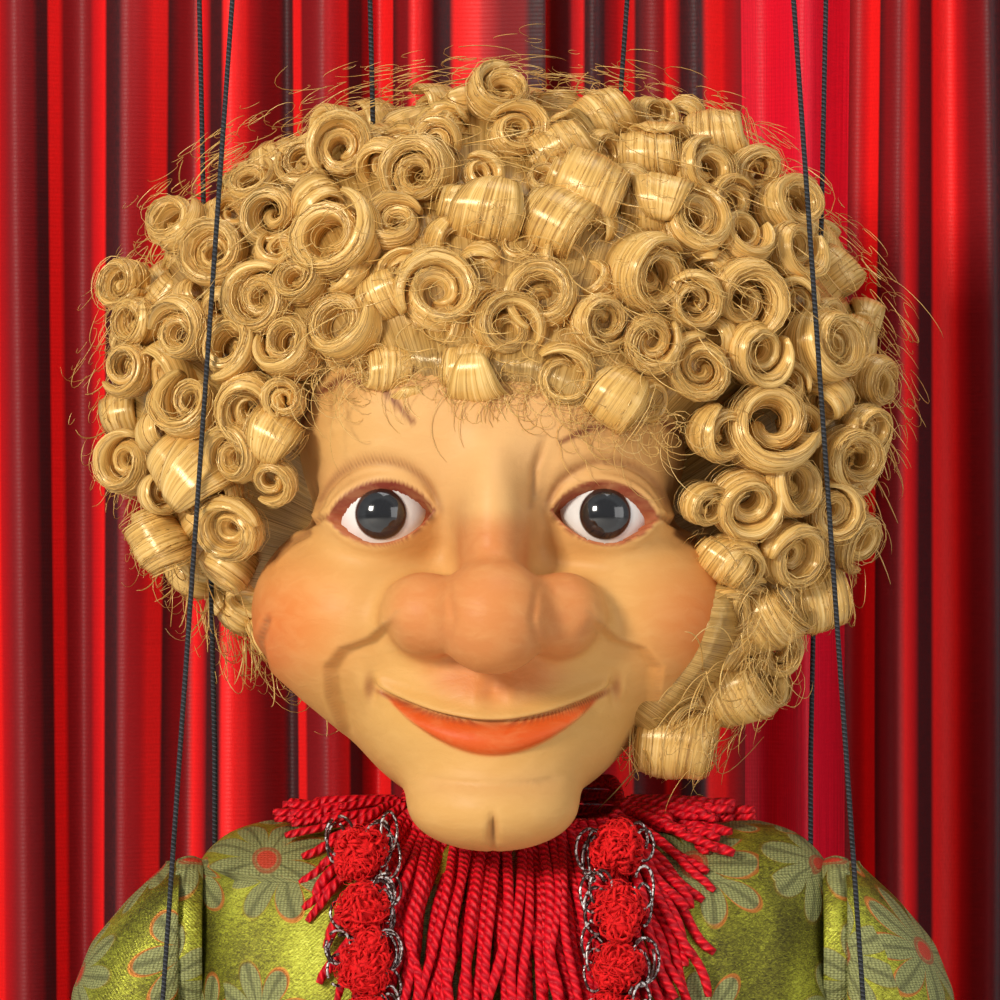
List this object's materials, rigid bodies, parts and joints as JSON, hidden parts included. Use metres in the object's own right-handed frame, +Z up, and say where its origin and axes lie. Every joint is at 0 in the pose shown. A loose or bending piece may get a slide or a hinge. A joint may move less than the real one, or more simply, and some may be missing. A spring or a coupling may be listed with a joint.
{
  "type": "string marionette on a table-top puppet theatre stand",
  "caption": "String puppet with a carved head and curled wig, hung by its wooden control from the swivel hook of a small theatre stand with drawn red curtains.",
  "frame": {"origin": "on the surface it stands on, below the middle of the base", "axes": "+Z up, +Y away from the audience, +X to the audience's right"},
  "size_m": [0.52, 0.3, 0.9025],
  "materials": {
    "oak": "dark stained oak, satin lacquer",
    "beech": "turned beech, oiled",
    "brass": "polished brass",
    "steel": "drawn steel rod",
    "rubber": "black rubber",
    "velvet": "red pleated cloth with a satin shine",
    "skin": "carved limewood, painted flesh ochre, satin",
    "white": "painted white, gloss",
    "dark": "black glossy iris",
    "blond": "blond curled wig fibre, glossy",
    "brocade": "green and gold brocade woven with plain daisies",
    "scarlet": "crimson rayon fringe and wool pompoms",
    "thread": "black twisted cord",
    "maroon": "dark red breeches over carved wood",
    "leather": "dark brown leather shoe over carved wood"
  },
  "bodies": {
    "stand": {"base_board": "oak", "foot_front_left": "rubber", "foot_front_right": "rubber", "foot_back_left": "rubber", "foot_back_right": "rubber", "post_left": "oak", "post_right": "oak", "finial_left": "oak", "finial_right": "oak", "top_beam": "oak", "hanger_arm": "oak", "curtain_rod": "brass", "curtain_left": "velvet", "curtain_right": "velvet"},
    "curtain_draw_left": {"curtain_wand_left": "brass"},
    "curtain_draw_right": {"curtain_wand_right": "brass"},
    "hook": {"swivel_hook": "brass"},
    "marionette": {"control_bar": "beech", "head_bar": "beech", "shoulder_bar": "beech", "control_eyelet": "brass", "trunk": "beech", "shoulder_axle": "steel", "hip_axle": "steel", "jacket": "brocade", "neckband": "scarlet", "fringe": "scarlet", "pompom_trim_left": "scarlet", "pompom_trim_right": "scarlet", "shoulder_string_left": "thread", "shoulder_string_right": "thread", "head_string_left": "thread", "head_string_right": "thread"},
    "hand_bar": {"hand_bar": "beech", "hand_string_left": "thread", "hand_string_right": "thread"},
    "neck": {"neck_peg": "beech"},
    "head": {"head": "skin", "eye_left": "white", "eye_right": "white", "iris_left": "dark", "iris_right": "dark", "wig": "blond"},
    "upper_arm_left": {"upper_arm_left": "beech", "sleeve_left": "brocade"},
    "forearm_left": {"forearm_left": "beech"},
    "hand_left": {"hand_left": "skin"},
    "thigh_left": {"thigh_left": "maroon"},
    "shin_left": {"shin_left": "white"},
    "shoe_left": {"shoe_left": "leather"},
    "upper_arm_right": {"upper_arm_right": "beech", "sleeve_right": "brocade"},
    "forearm_right": {"forearm_right": "beech"},
    "hand_right": {"hand_right": "skin"},
    "thigh_right": {"thigh_right": "maroon"},
    "shin_right": {"shin_right": "white"},
    "shoe_right": {"shoe_right": "leather"}
  },
  "joints": [
    {"name": "hook_turn", "type": "hinge", "parent": "stand", "child": "hook", "pos_m": [0, -0.025, 0.8212], "axis": [0, 0, 1], "range_deg": [-40, 40]},
    {"name": "marionette_swing", "type": "hinge", "parent": "hook", "child": "marionette", "pos_m": [0, -0.025, 0.8212], "axis": [-1, 0, 0], "range_deg": [-2, 8]},
    {"name": "neck_turn", "type": "hinge", "parent": "marionette", "child": "neck", "pos_m": [0, -0.021, 0.418], "axis": [0, 0, 1], "range_deg": [-25, 25], "deforming": ["head_string_left", "head_string_right", "shoulder_string_left", "shoulder_string_right"]},
    {"name": "head_nod", "type": "hinge", "parent": "neck", "child": "head", "pos_m": [0, -0.021, 0.452], "axis": [1, 0, 0], "range_deg": [-12, 2]},
    {"name": "hand_bar_lift", "type": "slide", "parent": "marionette", "child": "hand_bar", "axis": [0, 0, 1], "range_m": [0, 0.06], "deforming": ["hand_string_left", "hand_string_right"]},
    {"name": "curtain_left_draw", "type": "slide", "parent": "stand", "child": "curtain_draw_left", "axis": [-1, 0, 0], "range_m": [0, 0.15], "deforming": ["curtain_left"]},
    {"name": "arm_left_raise", "type": "hinge", "parent": "marionette", "child": "upper_arm_left", "pos_m": [-0.095, -0.025, 0.394], "axis": [-1, 0, 0], "range_deg": [0, 60]},
    {"name": "elbow_left_bend", "type": "hinge", "parent": "upper_arm_left", "child": "forearm_left", "pos_m": [-0.101, -0.025, 0.296], "axis": [-1, 0, 0], "range_deg": [0, 60], "deforming": ["sleeve_left"]},
    {"name": "wrist_left_swing", "type": "hinge", "parent": "forearm_left", "child": "hand_left", "pos_m": [-0.101, -0.047, 0.209], "axis": [-1, 0, 0], "range_deg": [-20, 20]},
    {"name": "hip_left_swing", "type": "hinge", "parent": "marionette", "child": "thigh_left", "pos_m": [-0.027, -0.025, 0.236], "axis": [-1, 0, 0], "range_deg": [-10, 35]},
    {"name": "knee_left_bend", "type": "hinge", "parent": "thigh_left", "child": "shin_left", "pos_m": [-0.027, -0.025, 0.145], "axis": [1, 0, 0], "range_deg": [0, 60]},
    {"name": "ankle_left_rock", "type": "hinge", "parent": "shin_left", "child": "shoe_left", "pos_m": [-0.027, -0.025, 0.062], "axis": [1, 0, 0], "range_deg": [-8, 12]},
    {"name": "curtain_right_draw", "type": "slide", "parent": "stand", "child": "curtain_draw_right", "axis": [1, 0, 0], "range_m": [0, 0.15], "deforming": ["curtain_right"]},
    {"name": "arm_right_raise", "type": "hinge", "parent": "marionette", "child": "upper_arm_right", "pos_m": [0.095, -0.025, 0.394], "axis": [-1, 0, 0], "range_deg": [0, 60]},
    {"name": "elbow_right_bend", "type": "hinge", "parent": "upper_arm_right", "child": "forearm_right", "pos_m": [0.101, -0.025, 0.296], "axis": [-1, 0, 0], "range_deg": [0, 60], "deforming": ["sleeve_right"]},
    {"name": "wrist_right_swing", "type": "hinge", "parent": "forearm_right", "child": "hand_right", "pos_m": [0.101, -0.047, 0.209], "axis": [-1, 0, 0], "range_deg": [-20, 20]},
    {"name": "hip_right_swing", "type": "hinge", "parent": "marionette", "child": "thigh_right", "pos_m": [0.027, -0.025, 0.236], "axis": [-1, 0, 0], "range_deg": [-10, 35]},
    {"name": "knee_right_bend", "type": "hinge", "parent": "thigh_right", "child": "shin_right", "pos_m": [0.027, -0.025, 0.145], "axis": [1, 0, 0], "range_deg": [0, 60]},
    {"name": "ankle_right_rock", "type": "hinge", "parent": "shin_right", "child": "shoe_right", "pos_m": [0.027, -0.025, 0.062], "axis": [1, 0, 0], "range_deg": [-8, 12]}
  ],
  "couplings": [
    {"joint": "arm_right_raise", "follows": "arm_left_raise", "ratio": 1},
    {"joint": "hand_bar_lift", "follows": "arm_left_raise", "m_per_rad": 0.0572}
  ]
}
